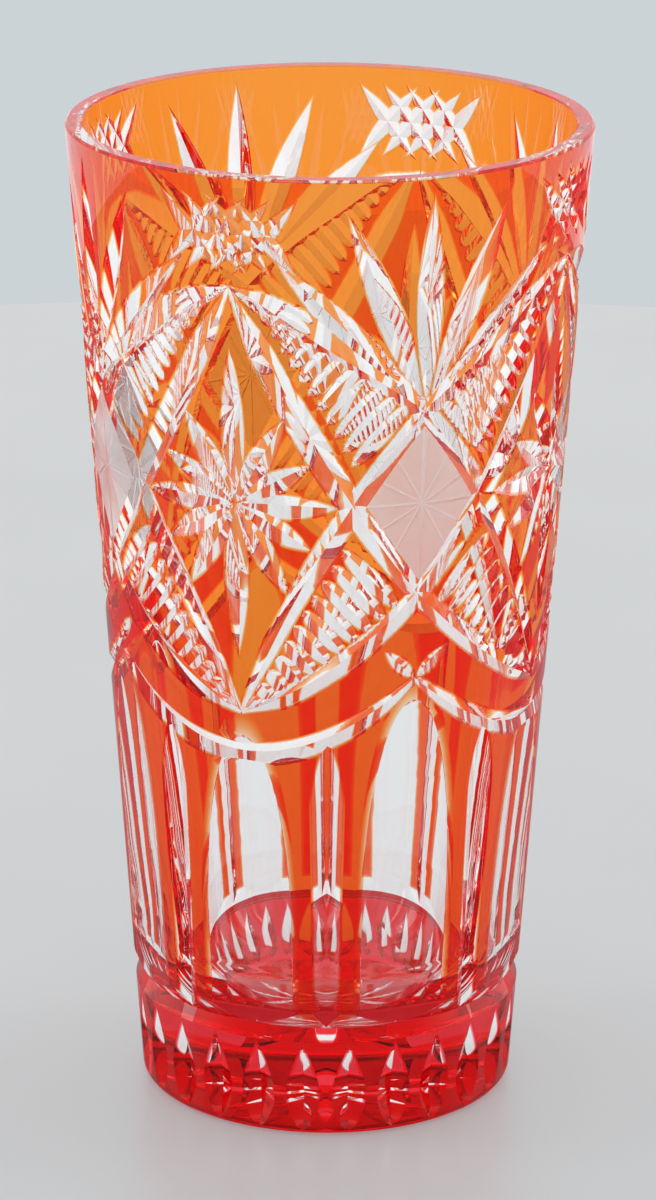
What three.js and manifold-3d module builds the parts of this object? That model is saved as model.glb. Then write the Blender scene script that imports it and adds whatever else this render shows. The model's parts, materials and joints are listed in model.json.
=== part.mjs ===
// A cased crystal vase, in millimetres, with +Z up, its axis on Z and its foot on z = 0.
//
// The real vase is a thick blank of clear lead crystal inside a thin coloured casing. The two are fused
// while hot. When the vase is cold, wheels grind the pattern through the casing and into the crystal, so
// the casing ends as separate islands on one clear blank. The blank and each island are a mesh here, and
// one set of wheel cuts goes through both, so that a groove runs on from the colour into the crystal.
//
// A bearing is in degrees round the axis: 0 is the front (-Y) and +90 is the right (+X).

import * as THREE from 'three';
import { mergeVertices } from 'three/addons/utils/BufferGeometryUtils.js';
import Module from 'manifold-3d';

// The blank: a straight cone, outside and inside
const height = 250;
const rimRadius = 64.9;
const taperRadius = 47.1; // the outer cone's radius where it meets z = 0
const rimWall = 4.4; // crystal and casing together
const lowWall = 12; // the same, where the wall meets the fillet of the floor
const floorHeight = 18.5;
const floorFillet = 24;
const rimBevel = 0.7;
const innerBevel = 0.4;
const footRounding = 3;
const roundSides = 24; // flats round the vase, a multiple of 8 so that each repeat is the same

// The casing
const rimCasing = 0.3;
const footCasing = 0.4;
const baseCasing = 0.4;
const seam = 0.1; // clearance between the casing and the crystal

// The layout hangs from the rim: star panels and frosted diamonds take turns, bounded by long arcs
const repeats = 4;
const starBearing = -22.5;
const apexDrop = 27.5; // from the rim to the upper end of a star panel, where the arcs begin
const panelLength = 108.5; // from there to the panel's lower end, where the arcs end
const diamondDrop = 31; // from a panel's upper end to the upper corner of a diamond

// The wheels
const mitreAngle = 118; // of the V that a mitre wheel grinds
const wheelClearance = 3; // how far a cutter stands out of the glass

// The arcs: widths of the four swellings and of the band along a diamond
const diamondBand = 3.8;
const crescentWidth = 8.2;
const crescentLean = 0.35; // the keel's shift towards the lower edge, as a share of half the width
const shoulderWidth = 6.6;
const hipWidth = 4.4;
const swagWidth = 5.8;
const arcEndWidth = 1.6; // where the arcs meet at their ends, enough to part the colour there

// The stars
const starRays = 12;
const starRayWidth = 4.8;
const starHubWidth = 2.4; // of a ray at the star's centre, where all the rays run together
const starLongRay = 39;
const starSideLand = 1.2; // casing left between the tip of a shorter ray and the arc that it points at

// The fans over the diamonds
const fanRays = 5;
const fanSpread = 88; // between the outer two rays
const fanLand = 7.5; // casing left between the middle ray and the rim
const fanRayWidth = 6.2;

// The necklace of swags
const necklaceDrop = 10.7; // from a star panel's lower end to the lowest point of a swag
const cuspDrop = 22; // from a diamond's lower corner to the cusp under it
const necklaceWidth = 6.6;
const cuspRayLength = 11.9;
const cuspRayWidth = 2.8;
const cuspRayRoot = 1.8; // its width where it leaves the cusp
const cuspRayAngle = 46; // from the vertical

// The flutes below the necklace
const fluteDepth = 1.63;
const fluteFade = 52; // length over which a broad flute rises from its full depth to the casing
const archLand = 6; // from a cusp to the top of the flute under it
const fluteRunIn = 4.2; // how far the flute under a star runs in past the middle of the necklace
const mitreFluteWidth = 7.4;
const mitreFluteTaper = 20; // length of its pointed end
const mitreFluteRunIn = 2; // how far its tip runs in past the middle of the necklace

// The ring and the foot
const ringHeight = 29.4;
const ringWidth = 7.8;
const ringDepth = 1.9;
const footCuts = 26;
const footCutLand = 0.3; // from the ring's edge to the tip of a cut
const footCutEnd = 1.4;
const footCutWidth = 9;

// The star under the base
const baseRays = 8;
const baseRayLength = 34;
const baseRayWidth = 4.6;

// Worked out from the sizes above
const quarter = 360 / repeats;
const halfQuarter = quarter / 2;
const degree = Math.PI / 180;
const mitreSpread = Math.tan((mitreAngle / 2) * degree); // half the width of a cut for each mm of depth
const apexHeight = height - apexDrop;
const nadirHeight = apexHeight - panelLength;
const middleHeight = (apexHeight + nadirHeight) / 2; // centres of the stars and diamonds
const diamondTop = apexHeight - diamondDrop;
const diamondBottom = nadirHeight + diamondDrop;
const necklaceLow = nadirHeight - necklaceDrop;
const necklaceCusp = diamondBottom - cuspDrop;
const fluteTopByDiamond = necklaceCusp - archLand;
const fluteTopByStar = necklaceLow + fluteRunIn;
const coneTilt = Math.atan((rimRadius - taperRadius) / height);

// Colours and finishes
const crystalLook = { color: 0xe6e9ea, roughness: 0.03, metalness: 0 };
const upperCasingLook = { color: 0xee8c40, roughness: 0.04, metalness: 0 };
const lowerCasingLook = { color: 0xd8321c, roughness: 0.04, metalness: 0 };
const footCasingLook = { color: 0xc0131c, roughness: 0.04, metalness: 0 };

const wasm = await Module();
wasm.setup();

// Solids

function solidFrom(geometry) {
  const bare = geometry.clone();
  bare.deleteAttribute('normal');
  bare.deleteAttribute('uv');
  const merged = mergeVertices(bare, 1e-5);
  return new wasm.Manifold(new wasm.Mesh({
    numProp: 3,
    vertProperties: Float32Array.from(merged.attributes.position.array),
    triVerts: Uint32Array.from(merged.index.array),
  }));
}

function meshFrom(solid, name, look) {
  const { vertProperties, triVerts } = solid.getMesh();
  const geometry = new THREE.BufferGeometry();
  geometry.setAttribute('position', new THREE.BufferAttribute(Float32Array.from(vertProperties), 3));
  geometry.setIndex(new THREE.BufferAttribute(Uint32Array.from(triVerts), 1));
  geometry.computeVertexNormals();
  const mesh = new THREE.Mesh(geometry, new THREE.MeshStandardMaterial(look));
  mesh.name = name;
  return mesh;
}

function subtractAll(solid, cutters) {
  return cutters.reduce((left, cutter) => left.subtract(cutter), solid);
}

// A closed outline of [radius, height] points, turned about the vase's axis
function turned(outline) {
  const points = outline.map(([radius, z]) => new THREE.Vector2(radius, z));
  if (outline[0][0] > 0) points.push(points[0].clone());
  const geometry = new THREE.LatheGeometry(points, roundSides, starBearing * degree);
  return solidFrom(geometry.rotateX(Math.PI / 2));
}

// Points of an arc in an outline, from one angle to another in degrees
function arcPoints(centreRadius, centreZ, radius, from, to, steps) {
  return Array.from({ length: steps + 1 }, (_, i) => {
    const angle = (from + ((to - from) * i) / steps) * degree;
    return [centreRadius + radius * Math.cos(angle), centreZ + radius * Math.sin(angle)];
  });
}

// The blank

const outerRadius = (z) => taperRadius + ((rimRadius - taperRadius) * z) / height;
const casingThickness = (z) => footCasing + ((rimCasing - footCasing) * z) / height;
const crystalRadius = (z) => outerRadius(z) - casingThickness(z) - seam;
const filletTop = floorHeight + floorFillet;
const lowInnerRadius = outerRadius(filletTop) - lowWall;

// The groove of the ring is turned with the blank. This is where a level under the outer face, given by
// its depth, comes out in the groove: on its lower side for -1 and on its upper side for 1.
function ringEdge(side, depth) {
  const grooveSlope = (2 * ringDepth) / ringWidth;
  const coneSlope = Math.tan(coneTilt);
  const away = (ringDepth - depth) / (grooveSlope - side * coneSlope);
  const z = ringHeight + side * away;
  return [outerRadius(z) - depth, z];
}

const ringKeel = () => [outerRadius(ringHeight) - ringDepth, ringHeight];

function makeBlank() {
  const bottom = baseCasing + seam;
  const cornerRadius = Math.max(footRounding - footCasing - seam, 0.5);
  const cornerZ = bottom + cornerRadius;
  const innerRim = rimRadius - rimWall;
  const casingLip = casingThickness(height) + seam;
  const lipZ = height - rimBevel + casingLip;
  const crystalDepth = casingThickness(ringHeight) + seam;
  const corner = arcPoints(crystalRadius(cornerZ) - cornerRadius, cornerZ, cornerRadius, -90, 0, 2);
  const fillet = arcPoints(lowInnerRadius - floorFillet, filletTop, floorFillet, 0, -90, 3);
  return turned([
    [0, bottom],
    ...corner,
    ringEdge(-1, crystalDepth),
    ringKeel(),
    ringEdge(1, crystalDepth),
    [crystalRadius(lipZ), lipZ],
    [rimRadius - rimBevel - seam, height],
    [innerRim + innerBevel, height],
    [innerRim, height - innerBevel],
    ...fillet,
    [0, floorHeight],
  ]);
}

function makeUpperCasing() {
  const bevelZ = height - rimBevel;
  const lipZ = bevelZ + casingThickness(height);
  return turned([
    ringEdge(1, 0),
    [outerRadius(bevelZ), bevelZ],
    [outerRadius(lipZ) - casingThickness(lipZ), lipZ],
    ringEdge(1, casingThickness(ringHeight)),
  ]);
}

function makeFootCasing() {
  const cornerRadius = Math.max(footRounding - footCasing, 0.5);
  const cornerZ = baseCasing + cornerRadius;
  const insideRadius = outerRadius(cornerZ) - casingThickness(cornerZ);
  const roundingCentre = outerRadius(footRounding) - footRounding;
  return turned([
    [0, 0],
    ...arcPoints(roundingCentre, footRounding, footRounding, -90, 0, 2),
    ringEdge(-1, 0),
    ringEdge(-1, casingThickness(ringHeight)),
    ...arcPoints(insideRadius - cornerRadius, cornerZ, cornerRadius, 0, -90, 2),
    [0, baseCasing],
  ]);
}

// Wheel cuts

// The blank's flats stand nearer to the axis in their middle than at their corners
function flatRadius(bearing, z) {
  const side = 360 / roundSides;
  const turns = (bearing - starBearing) / side;
  const pastMiddle = (turns - Math.floor(turns) - 0.5) * side;
  return (outerRadius(z) * Math.cos((side / 2) * degree)) / Math.cos(pastMiddle * degree);
}

function onSurface(bearing, z) {
  const angle = bearing * degree;
  const radius = flatRadius(bearing, z);
  return new THREE.Vector3(radius * Math.sin(angle), -radius * Math.cos(angle), z);
}

function surfaceNormal(bearing) {
  const angle = bearing * degree;
  const level = Math.cos(coneTilt);
  return new THREE.Vector3(level * Math.sin(angle), -level * Math.cos(angle), -Math.sin(coneTilt));
}

const outerFace = {
  point: ([bearing, z]) => onSurface(bearing, z),
  normal: ([bearing]) => surfaceNormal(bearing),
};

const underside = {
  point: ([x, y]) => new THREE.Vector3(x, y, 0),
  normal: () => new THREE.Vector3(0, 0, -1),
};

// The solid that a mitre wheel sweeps along a path: a V whose keel sinks as the cut widens. A path is a
// list of { at, width }, with at in the terms of the face. lean shifts the keel to the right of the path
// (seen from outside), as a share of half the width. On a straight path the wheel isn't turned.
function mitreCut(path, { face = outerFace, lean = 0, straight = false } = {}) {
  const last = path.length - 1;
  const points = path.map(({ at }) => face.point(at));
  const midNormal = face.normal(path[0].at).add(face.normal(path[last].at)).normalize();
  const vertices = [];
  path.forEach(({ at, width }, i) => {
    const ahead = points[straight ? last : Math.min(i + 1, last)];
    const behind = points[straight ? 0 : Math.max(i - 1, 0)];
    const normal = straight ? midNormal : face.normal(at);
    const right = ahead.clone().sub(behind).cross(normal).normalize();
    const half = width / 2;
    const edge = (side) => {
      const spread = mitreSpread * (1 - side * lean);
      return points[i].clone()
        .addScaledVector(right, side * (half + wheelClearance * spread))
        .addScaledVector(normal, wheelClearance);
    };
    const keel = points[i].clone()
      .addScaledVector(right, lean * half)
      .addScaledVector(normal, -half / mitreSpread);
    vertices.push(keel, edge(-1), edge(1));
  });
  const faces = [0, 2, 1];
  for (let i = 0; i < last; i += 1) {
    const near = 3 * i;
    const far = near + 3;
    for (let side = 0; side < 3; side += 1) {
      const next = (side + 1) % 3;
      faces.push(near + side, near + next, far + next, near + side, far + next, far + side);
    }
  }
  faces.push(3 * last, 3 * last + 1, 3 * last + 2);
  const geometry = new THREE.BufferGeometry().setFromPoints(vertices);
  geometry.setIndex(faces);
  return solidFrom(geometry);
}

// A straight stroke that is pointed at both ends; swell shapes its width from 0 to 1 along the stroke
const evenSwell = (share) => 4 * share * (1 - share);

// A swell that starts at root, a share of the full width
const rootedSwell = (root) => (share) => (share < 0.5 ? root + (1 - root) * 2 * share : 2 * (1 - share));

function stroke(from, to, width, { steps = 2, face = outerFace, swell = evenSwell } = {}) {
  const path = Array.from({ length: steps + 1 }, (_, i) => {
    const share = i / steps;
    const at = [from[0] + (to[0] - from[0]) * share, from[1] + (to[1] - from[1]) * share];
    return { at, width: width * Math.max(swell(share), 0) };
  });
  return mitreCut(path, { face, straight: true });
}

// A point at a distance in mm from another on the outer face, at an angle from straight up
function stepFrom([bearing, z], distance, angle) {
  const up = distance * Math.cos(angle * degree);
  const mmPerDegree = outerRadius(z + up / 2) * degree;
  return [bearing + (distance * Math.sin(angle * degree)) / mmPerDegree, z + up];
}

// The long arcs. Each is a parabola on the unrolled face. run is in degrees from the apex where it
// starts to the foot of the next star panel where it ends.
const arcFall = (2 * (apexHeight - nadirHeight) - 4 * (apexHeight - diamondTop)) / quarter ** 2;
const arcSlope = (apexHeight - nadirHeight) / quarter - arcFall * quarter;
const overArc = (run) => apexHeight - arcSlope * run - arcFall * run ** 2;
const underArc = (run) => apexHeight + nadirHeight - overArc(quarter - run);
const cornerRun = (() => {
  const drop = apexHeight - middleHeight;
  return quarter - (Math.sqrt(arcSlope ** 2 + 4 * arcFall * drop) - arcSlope) / (2 * arcFall);
})(); // from a star's bearing to the side corner of the next diamond

const bulge = (run, from, to) => Math.max(0, (4 * (run - from) * (to - run)) / (to - from) ** 2);

// The band is full along the diamond and narrows from there to both ends
function bandWidth(run) {
  const toEnd = Math.min(run, quarter - run);
  const share = Math.min(1, toEnd / (quarter - cornerRun - halfQuarter + cornerRun / 2));
  return arcEndWidth + (diamondBand - arcEndWidth) * share;
}

function overArcWidth(run) {
  const crescent = crescentWidth * bulge(run, 0, halfQuarter);
  const hip = hipWidth * bulge(run, quarter - cornerRun, quarter);
  return Math.max(bandWidth(run), crescent, hip);
}

function underArcWidth(run) {
  const shoulder = shoulderWidth * bulge(run, 0, cornerRun);
  const swag = swagWidth * bulge(run, halfQuarter, quarter);
  return Math.max(bandWidth(run), shoulder, swag);
}

// An arc turns only where it meets a corner of the blank, so that its cut lies true on every flat
function arcCuts(starAt, side) {
  const steps = roundSides / repeats;
  const along = (heightAt, widthAt) => Array.from({ length: steps + 1 }, (_, i) => {
    const run = (quarter * i) / steps;
    return { at: [starAt + side * run, heightAt(run)], width: widthAt(run) };
  });
  const over = mitreCut(along(overArc, overArcWidth), { lean: side * crescentLean });
  const under = mitreCut(along(underArc, underArcWidth));
  return [over, under];
}

// How far a ray from a star's centre runs before it meets the edge of the arc round its panel
function reachInPanel(angle) {
  const centre = [0, middleHeight];
  const inside = (distance) => {
    const [bearing, z] = stepFrom(centre, distance, angle);
    const run = Math.abs(bearing);
    const upper = underArc(run) - underArcWidth(run) / 2;
    const lower = overArc(quarter - run) + overArcWidth(quarter - run) / 2;
    return z < upper && z > lower;
  };
  const step = 0.1;
  let distance = step;
  while (inside(distance + step)) distance += step;
  return distance;
}

function starCuts(starAt) {
  const swell = rootedSwell(starHubWidth / starRayWidth);
  return Array.from({ length: starRays }, (_, i) => {
    const angle = (360 * i) / starRays;
    const reach = reachInPanel(angle) - starSideLand;
    const length = Math.min(reach, starLongRay);
    const centre = [starAt, middleHeight];
    return stroke(centre, stepFrom(centre, length, angle), starRayWidth, { swell });
  });
}

function fanCuts(diamondAt) {
  const length = height - fanLand - diamondTop;
  return Array.from({ length: fanRays }, (_, i) => {
    const angle = fanSpread * (i / (fanRays - 1) - 0.5);
    const root = [diamondAt, diamondTop];
    return stroke(root, stepFrom(root, length, angle), fanRayWidth);
  });
}

// The necklace hangs from a cusp under each diamond and is lowest under each star
const necklaceAt = (run) => necklaceLow + (necklaceCusp - necklaceLow) * (run / halfQuarter) ** 2;

function necklaceCut(starAt) {
  const steps = roundSides / repeats;
  const path = Array.from({ length: steps + 1 }, (_, i) => {
    const run = halfQuarter * ((2 * i) / steps - 1);
    const width = necklaceWidth * (1 - 0.6 * (run / halfQuarter) ** 4);
    return { at: [starAt + run, necklaceAt(run)], width };
  });
  return mitreCut(path);
}

function cuspCuts(diamondAt) {
  const root = [diamondAt, necklaceCusp];
  const swell = rootedSwell(cuspRayRoot / cuspRayWidth);
  return [-1, 1].map((side) => (
    stroke(root, stepFrom(root, cuspRayLength, side * cuspRayAngle), cuspRayWidth, { swell })
  ));
}

// A broad flute is a flat, ground along the cone. At its top it rises on a curve, and top is the height
// where it comes out of the crystal into the casing.
function broadFlute(bearing, top) {
  const width = 2 * outerRadius(0);
  const fullTop = top - fluteFade;
  const riseToCasing = fluteDepth - casingThickness(top) - seam;
  const curve = fluteFade * Math.sqrt((fluteDepth + wheelClearance) / riseToCasing);
  const flat = (z) => outerRadius(z) - fluteDepth;
  const outside = outerRadius(height) + wheelClearance;
  const profile = new THREE.Shape();
  profile.moveTo(flat(ringHeight), ringHeight);
  profile.lineTo(flat(fullTop), fullTop);
  profile.quadraticCurveTo(
    flat(fullTop + curve / 2),
    fullTop + curve / 2,
    outerRadius(fullTop + curve) + wheelClearance,
    fullTop + curve,
  );
  profile.lineTo(outside, fullTop + curve);
  profile.lineTo(outside, ringHeight);
  profile.closePath();
  const geometry = new THREE.ExtrudeGeometry(profile, {
    depth: width, bevelEnabled: false, curveSegments: 4,
  });
  geometry.translate(0, 0, -width / 2).rotateX(Math.PI / 2).rotateZ((bearing - 90) * degree);
  return solidFrom(geometry);
}

function mitreFlute(bearing) {
  const tip = necklaceAt(halfQuarter / 2) + mitreFluteRunIn;
  const swell = (share) => Math.sin((Math.PI / 2) * share);
  const lancet = Array.from({ length: 3 }, (_, i) => (
    { at: [bearing, tip - (mitreFluteTaper * i) / 2], width: mitreFluteWidth * swell(i / 2) }
  ));
  const end = { at: [bearing, ringHeight], width: mitreFluteWidth };
  return mitreCut([...lancet, end], { straight: true });
}

function footCut(bearing) {
  const [, ringLow] = ringEdge(-1, 0);
  const swell = (share) => Math.sin(Math.PI * share ** 1.5);
  return stroke([bearing, ringLow - footCutLand], [bearing, footCutEnd], footCutWidth, { swell });
}

function baseRay(angle) {
  const tip = [baseRayLength * Math.sin(angle * degree), -baseRayLength * Math.cos(angle * degree)];
  return stroke([0, 0], tip, baseRayWidth, { face: underside });
}

const around = (count, start = 0) => Array.from({ length: count }, (_, i) => start + (360 * i) / count);

function makeCutters() {
  const stars = around(repeats, starBearing);
  const diamonds = stars.map((bearing) => bearing + halfQuarter);
  const betweenFlutes = around(2 * repeats, starBearing + halfQuarter / 2);
  return [
    ...stars.flatMap((at) => [...arcCuts(at, -1), ...arcCuts(at, 1)]),
    ...stars.flatMap(starCuts),
    ...diamonds.flatMap(fanCuts),
    ...stars.map(necklaceCut),
    ...diamonds.flatMap(cuspCuts),
    ...stars.map((at) => broadFlute(at, fluteTopByStar)),
    ...diamonds.map((at) => broadFlute(at, fluteTopByDiamond)),
    ...betweenFlutes.map(mitreFlute),
    ...around(footCuts, 180 / footCuts).map(footCut),
    ...around(baseRays).map(baseRay),
  ];
}

// The islands of colour that the cuts leave

function middleOf(solid) {
  const corners = new THREE.BufferAttribute(solid.getMesh().vertProperties, 3);
  const middle = new THREE.Vector3();
  const corner = new THREE.Vector3();
  for (let i = 0; i < corners.count; i += 1) middle.add(corner.fromBufferAttribute(corners, i));
  return middle.divideScalar(corners.count);
}

const bearingOf = ({ x, y }) => Math.atan2(x, -y) / degree;

// Islands are numbered round the vase from just before the first star, where no island has its middle
const turnFromStart = (bearing) => (bearing - starBearing + quarter / 16 + 360) % 360;

// The field of the pattern that an island fills. Four arcs cross each bearing and lie between the fields.
// An island that goes all the way round has its middle near the axis.
function fieldOf(middle) {
  const { z } = middle;
  if (z < ringHeight) return 'foot';
  if (Math.hypot(middle.x, middle.y) < outerRadius(z) / 2) return z > middleHeight ? 'collar' : 'garland';
  const quarters = (bearingOf(middle) - starBearing) / quarter;
  const run = Math.abs(quarters - Math.round(quarters)) * quarter;
  const arcs = [overArc(run), underArc(run), overArc(quarter - run), underArc(quarter - run)];
  const arcsAbove = arcs.filter((arc) => arc > z).length;
  if (arcsAbove === 2) return run < cornerRun ? 'star_panel' : 'diamond';
  if (arcsAbove === 1) return 'upper_comb';
  if (arcsAbove === 3) return 'lower_comb';
  return run > cornerRun ? 'arch' : 'strip';
}

const fieldLooks = {
  collar: upperCasingLook,
  upper_comb: upperCasingLook,
  star_panel: upperCasingLook,
  lower_comb: upperCasingLook,
  garland: lowerCasingLook,
  arch: lowerCasingLook,
  strip: lowerCasingLook,
  foot: footCasingLook,
};

const cutters = makeCutters();
const vase = new THREE.Group();
vase.add(meshFrom(subtractAll(makeBlank(), cutters), 'crystal_body', crystalLook));

const casings = [makeUpperCasing(), makeFootCasing()];
const islands = casings.flatMap((casing) => subtractAll(casing, cutters).decompose()).map((solid) => {
  const middle = middleOf(solid);
  return { solid, field: fieldOf(middle), bearing: bearingOf(middle) };
});

// The colour inside a diamond is ground away when the panel is frosted, so no island is kept there
Object.entries(fieldLooks).forEach(([field, look]) => {
  const inField = islands.filter((island) => island.field === field);
  inField.sort((one, other) => turnFromStart(one.bearing) - turnFromStart(other.bearing));
  inField.forEach(({ solid }, i) => {
    const number = inField.length > 1 ? `_${i + 1}` : '';
    vase.add(meshFrom(solid, `casing_${field}${number}`, look));
  });
});

export default vase;
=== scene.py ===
# %% [markdown]
# # A cased crystal vase, cut through its colour
#
# The real vase is a thick blank of clear lead crystal inside a thin layer of coloured crystal, orange at
# the top and red at the foot. A cutter holds the cold blank against spinning wheels. Each wheel grinds a
# groove through the colour into the clear crystal, and the pattern is what the grooves leave behind.
#
# Here the vase is made in the same order: a turned blank, a turned skin of colour round it, a set of
# wheel cuts that go through both, and then the polish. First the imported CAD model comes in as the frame
# that every piece has to fit.

# %% Load the frame
import json
import math

import bmesh
import bpy
from mathutils import Matrix, Vector

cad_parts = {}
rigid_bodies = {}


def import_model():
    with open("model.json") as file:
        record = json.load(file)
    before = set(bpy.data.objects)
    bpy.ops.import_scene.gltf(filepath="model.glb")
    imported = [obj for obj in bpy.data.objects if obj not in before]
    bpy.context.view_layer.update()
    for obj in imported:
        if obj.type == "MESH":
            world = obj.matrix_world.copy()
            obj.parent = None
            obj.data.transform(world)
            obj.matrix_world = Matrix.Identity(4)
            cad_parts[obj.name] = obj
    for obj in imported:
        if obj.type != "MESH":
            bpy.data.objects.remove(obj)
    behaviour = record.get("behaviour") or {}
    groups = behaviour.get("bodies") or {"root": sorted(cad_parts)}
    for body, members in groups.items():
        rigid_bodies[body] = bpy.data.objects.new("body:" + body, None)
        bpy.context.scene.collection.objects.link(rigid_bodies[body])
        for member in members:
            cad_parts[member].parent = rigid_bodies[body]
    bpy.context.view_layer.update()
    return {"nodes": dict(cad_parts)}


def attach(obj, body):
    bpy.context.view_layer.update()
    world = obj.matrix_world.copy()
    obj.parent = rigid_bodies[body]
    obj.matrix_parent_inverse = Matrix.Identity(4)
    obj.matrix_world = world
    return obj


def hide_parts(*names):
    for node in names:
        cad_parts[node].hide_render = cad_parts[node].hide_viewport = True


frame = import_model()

# %% [markdown]
# ## Sizes
#
# The blank's sizes are the CAD source's own, in millimetres, so that a new piece lies exactly where its
# CAD node lies. The blank is a cone outside and inside, and its floor is a round bowl. Only the seam
# differs: the real colour is fused to the crystal, so the two surfaces are brought as close as they can be
# without touching. The strokes of the wheels are drawn more finely here than in the CAD.

# %% Sizes of the blank and its casing
MM = 0.001
HEIGHT = 250
RIM_RADIUS = 64.9
TAPER_RADIUS = 47.1  # the outer cone's radius at z = 0
RIM_WALL = 4.4
LOW_WALL = 12
FLOOR_HEIGHT = 18.5  # the lowest point of the bowl inside
FLOOR_FILLET = 24  # the radius of the bowl's sides
RIM_BEVEL = 0.7
INNER_BEVEL = 0.4
FOOT_ROUNDING = 3
RIM_CASING = 0.3
FOOT_CASING = 0.4
BASE_CASING = 0.4
SEAM = 0.02
RING_HEIGHT = 29.4
RING_WIDTH = 7.8
RING_DEPTH = 1.9
SIDES = 288  # facets round the vase, too fine to see


def outer_radius(z):
    return TAPER_RADIUS + (RIM_RADIUS - TAPER_RADIUS) * z / HEIGHT


def casing_thickness(z):
    return FOOT_CASING + (RIM_CASING - FOOT_CASING) * z / HEIGHT


def crystal_radius(z):
    return outer_radius(z) - casing_thickness(z) - SEAM


CONE_TILT = math.atan((RIM_RADIUS - TAPER_RADIUS) / HEIGHT)
print("Casing at the rim and the foot:", RIM_CASING, FOOT_CASING, "mm")
print("Cone tilt:", round(math.degrees(CONE_TILT), 2), "degrees")

# %% [markdown]
# ## The turned blank
#
# A glassblower makes the blank by turning, so a profile that is spun round the axis is its natural form,
# and one profile holds the wall, the bevels and the bowl without a joint.
#
# Every stretch of the profile has a kind: "open" glass meets the air, and "seam" glass meets the other
# layer. The kind is kept on the faces, because light bends at an open face and runs straight on at a seam.

# %% Turn a profile into a solid
ONE_CURVE = math.radians(25)  # stretches that meet at a smaller angle are parts of one curve
CLOSED_MM = 1e-6
MERGE_M = 1e-7


def arc_points(centre_radius, centre_z, radius, start, end, steps):
    """Points of an arc in a profile, from one angle to another in degrees."""
    angles = [math.radians(start + (end - start) * i / steps) for i in range(steps + 1)]
    return [(centre_radius + radius * math.cos(a), centre_z + radius * math.sin(a)) for a in angles]


def stretch_normal(start, end):
    """The way that a stretch of profile faces, for a profile that runs outwards, up, in and down."""
    return Vector((end[1] - start[1], start[0] - end[0])).normalized()


def make_profile(runs):
    """Joins runs of (points, kind) into stretches. A run of more than two points is a smooth arc."""
    stretches = []
    for points, kind in runs:
        for start, end in zip(points, points[1:]):
            stretches.append({
                "start": start, "end": end, "kind": kind, "arc": len(points) > 2,
                "facing": stretch_normal(start, end)})
    for before, after in zip(stretches, stretches[1:]):
        round_here = before["arc"] or after["arc"]
        if not round_here or before["facing"].angle(after["facing"]) >= ONE_CURVE:
            continue
        middle = (before["facing"] + after["facing"]).normalized()
        straight = [s["facing"] for s in (before, after) if not s["arc"]]
        before["end_facing"] = after["start_facing"] = straight[0] if straight else middle
    return stretches


def nearest_stretch(profile, radius, z):
    """The index of the stretch that a point of the turned surface lies on."""
    def distance(s):
        along = Vector(s["end"]) - Vector(s["start"])
        away = Vector((radius, z)) - Vector(s["start"])
        share = max(0.0, min(1.0, away.dot(along) / along.length_squared))
        return (away - along * share).length
    return min(range(len(profile)), key=lambda i: distance(profile[i]))


def turn_profile(name, profile):
    """Spins a profile round the axis. The face attribute "stretch" is 1 + the stretch's index."""
    bm = bmesh.new()
    corners = [s["start"] for s in profile]
    closed = (Vector(profile[-1]["end"]) - Vector(corners[0])).length < CLOSED_MM
    if not closed:
        corners.append(profile[-1]["end"])
    verts = [bm.verts.new((r * MM, 0, z * MM)) for r, z in corners]
    edges = [bm.edges.new(pair) for pair in zip(verts, verts[1:])]
    if closed:
        edges.append(bm.edges.new((verts[-1], verts[0])))
    bmesh.ops.spin(bm, geom=verts + edges, axis=(0, 0, 1), angle=math.tau, steps=SIDES, use_merge=True)
    bmesh.ops.remove_doubles(bm, verts=bm.verts, dist=MERGE_M)
    bmesh.ops.recalc_face_normals(bm, faces=bm.faces)
    stretch = bm.faces.layers.int.new("stretch")
    for face in bm.faces:
        middle = face.calc_center_median() / MM
        face[stretch] = 1 + nearest_stretch(profile, math.hypot(middle.x, middle.y), middle.z)
    mesh = bpy.data.meshes.new(name)
    bm.to_mesh(mesh)
    bm.free()
    return mesh


print("Facets round the vase:", SIDES)

# %% The profiles of the blank and of the two layers, with the ring groove turned in
CORNER_STEPS = 8
FILLET_STEPS = 36


def ring_edge(side, depth):
    """Where a level under the outer face comes out in the ring groove: -1 below the keel, 1 above it."""
    groove_slope = 2 * RING_DEPTH / RING_WIDTH
    away = (RING_DEPTH - depth) / (groove_slope - side * math.tan(CONE_TILT))
    z = RING_HEIGHT + side * away
    return (outer_radius(z) - depth, z)


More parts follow.
